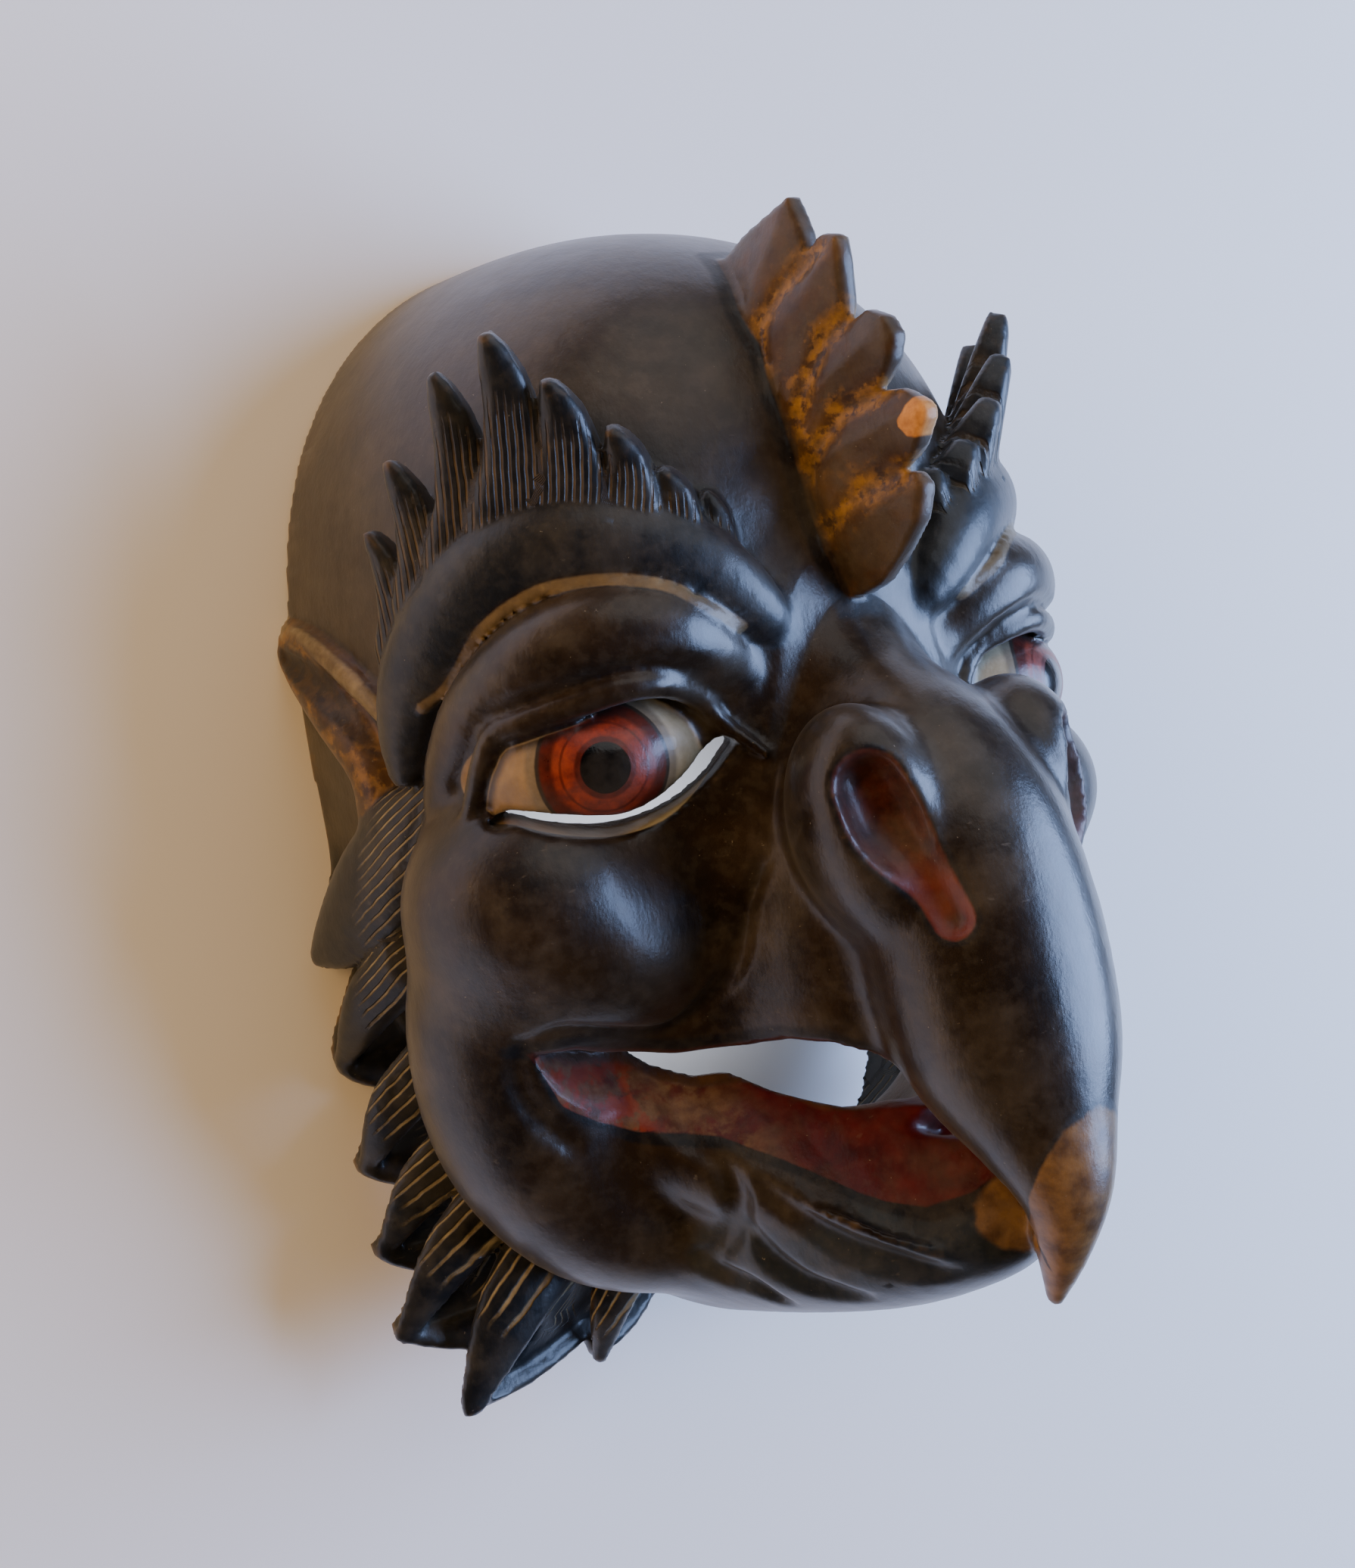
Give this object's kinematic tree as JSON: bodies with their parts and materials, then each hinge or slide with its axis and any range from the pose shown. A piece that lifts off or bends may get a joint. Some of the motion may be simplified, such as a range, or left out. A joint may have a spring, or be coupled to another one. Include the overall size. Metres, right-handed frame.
{
  "type": "carved wooden bird mask",
  "caption": "Hollow dance mask carved from one block of wood: bird-faced guardian with hooked beak, open mouth, feathered brows, crest, ears and feather ruff.",
  "frame": {"origin": "centre of the bounding box on its bottom plane, which is the flat back rim that the mask rests on", "axes": "X across the face, Y from the ruff up to the crown, Z out of the face; the mask is symmetric about X = 0"},
  "size_m": [0.1494, 0.2124, 0.1329],
  "materials": {
    "lacquered_wood": "dark brown-black lacquer over carved wood, worn to bare wood on the edges, ochre crest and beak tip, red lip, painted eyes"
  },
  "bodies": {
    "root": {"mask": "lacquered_wood"}
  },
  "joints": []
}
